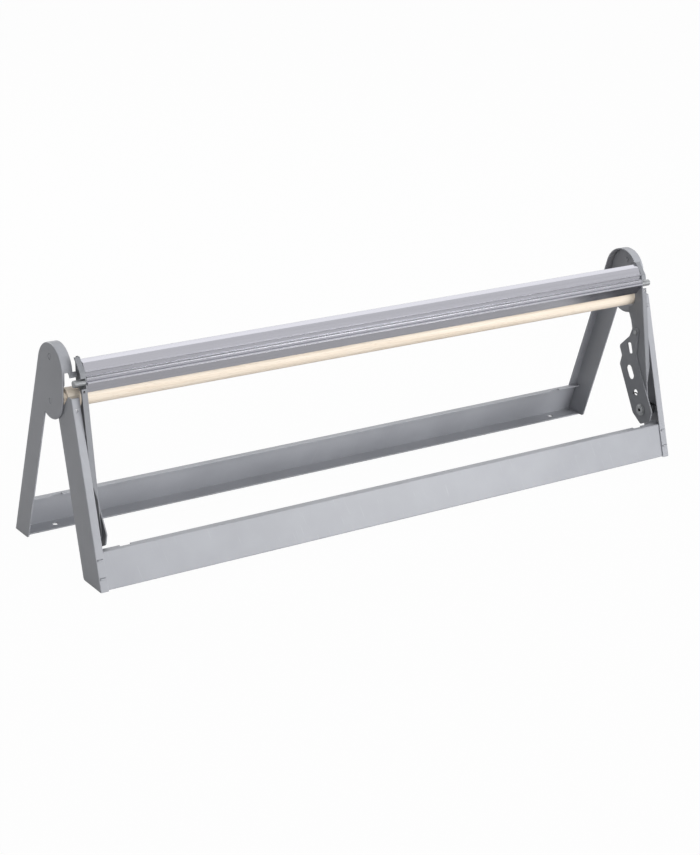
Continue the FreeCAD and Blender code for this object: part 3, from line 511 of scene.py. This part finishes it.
@dataclass
class TorsionSprings:
    """The wound springs on the pivot studs, which twist as the cutter swings."""

    wire_mm: float = 1.6
    mean_radius_mm: float = 7.4
    pitch_mm: float = 2.2
    turns: int = 3
    end_bend_mm: float = 2.4
    hole_mm: tuple[float, float] = (12.0, 19.8)
    hole_radius_mm: float = 4.0
    side_gap_mm: float = 0.3
    ring_points: int = 12
    steps_per_turn: int = 32
    finish: BareMetal = SPRING_WIRE
    slot: str = "spring_steel"
    pieces: list[bpy.types.Object] = field(default_factory=list)

    def pivot(self) -> Vector:
        """Middle of the hinge that the springs wind round."""
        return Vector(frame["joints"][0]["pos_m"])

    def hole_anchor(self) -> Vector:
        """Place in the plate's hole where the wire bears, from the pivot, in metres."""
        hole = Vector((0.0, *self.hole_mm)) * MM
        lean = (self.hole_radius_mm - self.wire_mm / 2.0 - self.side_gap_mm) * MM
        angle = math.atan2(hole.z, hole.y)
        return hole + Vector((0.0, math.sin(angle), -math.cos(angle))) * lean

    def build(self) -> None:
        """Wind both springs between the frame and the cutter and hide the imported spring nodes."""
        for side in Side:
            node = "torsion_spring_" + side.word
            piece = mesh_object("torsion_spring_wire_" + side.word, self.wound_wire(side))
            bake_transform(piece)
            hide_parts(node)
            self.pieces.append(piece)

    def dress(self, rack: FinishRack) -> None:
        """Give the wire its finish.

        Args:
            rack: where the finishes are made.
        """
        for piece in self.pieces:
            rack.dress(piece, self.finish)
        rack.dress_nodes(("torsion_spring",), self.finish)

    def wound_wire(self, side: Side) -> bmesh.types.BMesh:
        """Wind one spring from its tail on the leg to its tail in the plate's hole.

        Args:
            side: the end of the frame that it belongs to.

        Returns:
            A closed tube.
        """
        radius = self.mean_radius_mm * MM
        low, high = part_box("torsion_spring_" + side.word)
        pivot = self.pivot()
        anchor = self.hole_anchor()
        reach = math.sqrt(anchor.length_squared - radius ** 2)
        last = math.atan2(anchor.z, anchor.y) + math.atan2(reach, radius)
        turned = (math.pi / 2.0 - last) % math.tau + math.tau * self.turns
        steps = round(turned / math.tau * self.steps_per_turn)
        rise = self.pitch_mm * MM / math.tau
        slope = rise / radius
        tail = pivot.y - low.y
        leg_x = max(abs(low.x), abs(high.x)) - self.wire_mm / 2.0 * MM
        shape = bmesh.new()
        ring = self.start_ring(shape, Vector((side.value * leg_x, low.y, pivot.z + radius)))
        ring = self.push(shape, ring, Vector((-side.value * tail * slope, tail, 0.0)))
        step_shift = Vector((-side.value * rise * turned / steps, 0.0, 0.0))
        ring = self.wind(shape, ring, pivot, -turned, step_shift, steps)
        way = Vector((-side.value * slope, math.sin(last), -math.cos(last)))
        bend = self.end_bend_mm * MM
        ring = self.push(shape, ring, way * (reach - bend))
        inward = Vector((-side.value, 0.0, 0.0))
        corner_axis = Vector((0.0, way.y, way.z)).normalized().cross(inward)
        centre = self.middle(ring) + inward * bend
        ring = self.wind(shape, ring, centre, math.pi / 2.0, Vector(), self.ring_points // 2, corner_axis)
        tip_x = min(abs(low.x), abs(high.x))
        ring = self.push(shape, ring, inward * (abs(self.middle(ring).x) - tip_x))
        bmesh.ops.contextual_create(shape, geom=ring)
        return shape

    def start_ring(self, shape: bmesh.types.BMesh, centre: Vector) -> list[bmesh.types.BMEdge]:
        """Make the capped end of the wire, square to Y.

        Args:
            shape: the bmesh that gets it.
            centre: middle of the end.

        Returns:
            The edges of the ring.
        """
        turn = Matrix.Translation(centre) @ Matrix.Rotation(math.pi / 2.0, 4, "X")
        made = bmesh.ops.create_circle(shape, cap_ends=True, segments=self.ring_points,
                                       radius=self.wire_mm / 2.0 * MM, matrix=turn)
        return list({edge for vert in made["verts"] for edge in vert.link_edges})

    def push(self, shape: bmesh.types.BMesh, ring: list[bmesh.types.BMEdge],
             shift: Vector) -> list[bmesh.types.BMEdge]:
        """Carry the wire straight on from its open ring.

        Args:
            shape: the bmesh of the wire.
            ring: the open ring's edges.
            shift: how far and which way it goes.

        Returns:
            The edges of the new open ring.
        """
        made = bmesh.ops.extrude_edge_only(shape, edges=ring)["geom"]
        verts = [item for item in made if isinstance(item, bmesh.types.BMVert)]
        edges = [item for item in made if isinstance(item, bmesh.types.BMEdge)]
        bmesh.ops.translate(shape, verts=verts, vec=shift)
        return [edge for edge in edges if set(edge.verts) <= set(verts)]

    def wind(self, shape: bmesh.types.BMesh, ring: list[bmesh.types.BMEdge], centre: Vector,
             angle: float, step_shift: Vector, steps: int,
             axis: Vector = Vector((1.0, 0.0, 0.0))) -> list[bmesh.types.BMEdge]:
        """Carry the wire on round an axis.

        Args:
            shape: the bmesh of the wire.
            ring: the open ring's edges.
            centre: a point of the axis.
            angle: turn in radians.
            step_shift: move along the axis at each step.
            steps: number of steps.
            axis: direction of the axis.

        Returns:
            The edges of the new open ring.
        """
        geometry = list({vert for edge in ring for vert in edge.verts}) + ring
        made = bmesh.ops.spin(shape, geom=geometry, cent=centre, axis=axis, dvec=step_shift, angle=angle,
                              steps=steps, use_merge=False, use_duplicate=False)
        return [item for item in made["geom_last"] if isinstance(item, bmesh.types.BMEdge)]

    def middle(self, ring: list[bmesh.types.BMEdge]) -> Vector:
        """Middle of a ring of the wire."""
        verts = {vert for edge in ring for vert in edge.verts}
        return sum((vert.co for vert in verts), Vector()) / len(verts)


@dataclass
class Studio:
    """Pale floor, soft light and the camera at the photograph's place."""

    camera_mm: tuple[float, float, float] = (-1300.97, -1826.29, 916.57)
    azimuth_deg: float = -35.019
    elevation_deg: float = 20.471
    roll_deg: float = 2.026
    focal_px: float = 2001.25
    ambient: float = 0.2
    dome_from: tuple[float, float, float] = (0.25, -0.95, 0.08)
    dome_edge: float = 0.5
    dome_level: float = 3.6
    floor_half_m: float = 6.0
    floor_paper: str = "C4C4C4"
    floor_white: float = 0.975
    floor_in_gloss: float = 0.5
    lamp_target: tuple[float, float, float] = (0.0, 0.0, 0.12)
    key_place: tuple[float, float, float] = (1.3, -2.1, 0.45)
    key_size: float = 0.8
    key_level: float = 0.2
    top_place: tuple[float, float, float] = (1.15, 0.75, 1.95)
    top_size: float = 2.0
    top_level: float = 0.17
    rear_place: tuple[float, float, float] = (-0.4, 1.9, 1.7)
    rear_size: float = 1.2
    rear_level: float = 0.4

    def build(self) -> None:
        """Set the view transform and build the studio."""
        bpy.context.scene.view_settings.view_transform = "Standard"
        self.build_world()
        self.build_floor()
        self.build_lamp("key_light", self.key_place, self.key_size, self.key_level)
        self.build_lamp("top_light", self.top_place, self.top_size, self.top_level)
        self.build_lamp("rear_light", self.rear_place, self.rear_size, self.rear_level)
        self.build_camera()

    def shown(self, tree: bpy.types.NodeTree, direct: float, in_gloss: float) -> bpy.types.NodeSocket:
        """Add the share of plain white that each kind of ray sees.

        Args:
            tree: the node tree that gets the nodes.
            direct: share for camera rays.
            in_gloss: share for rays that a glossy or clear surface sends on.

        Returns:
            The share's socket, nought for the rays that light the object.
        """
        path = add_node(tree, "ShaderNodeLightPath")
        share = add_node(tree, "ShaderNodeMath", {
            0: path.outputs["Is Camera Ray"],
            1: direct,
        }, operation="MULTIPLY")
        for name in ("Is Glossy Ray", "Is Transmission Ray"):
            share = add_node(tree, "ShaderNodeMath", {
                0: path.outputs[name],
                1: in_gloss,
                2: share.outputs[0],
            }, operation="MULTIPLY_ADD")
        return share.outputs[0]

    def build_world(self) -> None:
        """White where it is seen, and a dome of light that is brightest from the front."""
        world = bpy.data.worlds.new("white_sweep")
        world.use_nodes = True
        tree = world.node_tree
        tree.nodes.clear()
        place = add_node(tree, "ShaderNodeTexCoord")
        facing = add_node(tree, "ShaderNodeVectorMath", {
            0: place.outputs["Generated"],
            1: Vector(self.dome_from).normalized(),
        }, operation="DOT_PRODUCT")
        level = add_node(tree, "ShaderNodeMapRange", {
            "Value": facing.outputs["Value"],
            "From Min": self.dome_edge,
            "From Max": 1.0,
            "To Min": self.ambient,
            "To Max": self.dome_level,
        }, interpolation_type="SMOOTHSTEP")
        dome = add_node(tree, "ShaderNodeBackground", {"Color": WHITE, "Strength": level.outputs[0]})
        white = add_node(tree, "ShaderNodeBackground", {"Color": WHITE, "Strength": 1.0})
        share = self.shown(tree, 1.0, 1.0)
        mix = add_node(tree, "ShaderNodeMixShader", {0: share, 1: dome.outputs[0], 2: white.outputs[0]})
        add_node(tree, "ShaderNodeOutputWorld", {"Surface": mix.outputs[0]})
        bpy.context.scene.world = world

    def build_floor(self) -> None:
        """Pale floor that keeps a soft shadow."""
        shape = bmesh.new()
        bmesh.ops.create_grid(shape, x_segments=1, y_segments=1, size=self.floor_half_m)
        floor = mesh_object("floor", shape, smooth=False)
        material, tree = new_material("white_paper_floor")
        paper = add_node(tree, "ShaderNodeBsdfDiffuse", {"Color": linear(self.floor_paper)})
        white = add_node(tree, "ShaderNodeEmission", {"Color": WHITE, "Strength": 1.0})
        share = self.shown(tree, self.floor_white, self.floor_in_gloss)
        mix = add_node(tree, "ShaderNodeMixShader", {0: share, 1: paper.outputs[0], 2: white.outputs[0]})
        add_node(tree, "ShaderNodeOutputMaterial", {"Surface": mix.outputs[0]})
        floor.data.materials.append(material)

    def build_lamp(self, name: str, place: tuple[float, float, float], size: float, level: float) -> None:
        """Add a square area lamp that faces the object.

        Args:
            name: the lamp's name.
            place: where it stands, in metres.
            size: its side in metres.
            level: share of plain white light that it gives a surface facing it at the object.
        """
        lamp = bpy.data.lights.new(name, "AREA")
        lamp.size = size
        away = Vector(place) - Vector(self.lamp_target)
        lamp.energy = level * math.pi ** 2 * away.length_squared
        holder = bpy.data.objects.new(name, lamp)
        holder.location = place
        holder.rotation_euler = away.to_track_quat("Z", "Y").to_euler()
        bpy.context.scene.collection.objects.link(holder)

    def build_camera(self) -> None:
        """Add the camera with the photograph's viewpoint."""
        azimuth, elevation, roll = (
            math.radians(angle) for angle in (self.azimuth_deg, self.elevation_deg, self.roll_deg))
        back = Vector((math.sin(azimuth) * math.cos(elevation), -math.cos(azimuth) * math.cos(elevation),
                       math.sin(elevation)))
        level_right = Vector((math.cos(azimuth), math.sin(azimuth), 0.0))
        level_up = back.cross(level_right)
        right = level_right * math.cos(roll) + level_up * math.sin(roll)
        up = level_up * math.cos(roll) - level_right * math.sin(roll)
        lens = bpy.data.cameras.new("photo_camera")
        lens.sensor_width = SENSOR_MM
        lens.lens = self.focal_px * SENSOR_MM / max(IMAGE_SIZE_PX)
        holder = bpy.data.objects.new("photo_camera", lens)
        turn = Matrix((right, up, back)).transposed().to_4x4()
        holder.matrix_world = Matrix.Translation(Vector(self.camera_mm) * MM) @ turn
        bpy.context.scene.collection.objects.link(holder)
        bpy.context.scene.camera = holder


def main() -> None:
    """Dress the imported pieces, build the wound ones and set up the studio."""
    logging.basicConfig(level=logging.INFO)
    rack = FinishRack()
    springs = TorsionSprings()
    springs.build()
    for unit in (EndFrames(), CutterUnit(), RollRod(), springs):
        unit.dress(rack)
    Studio().build()


if __name__ == "__main__":
    main()
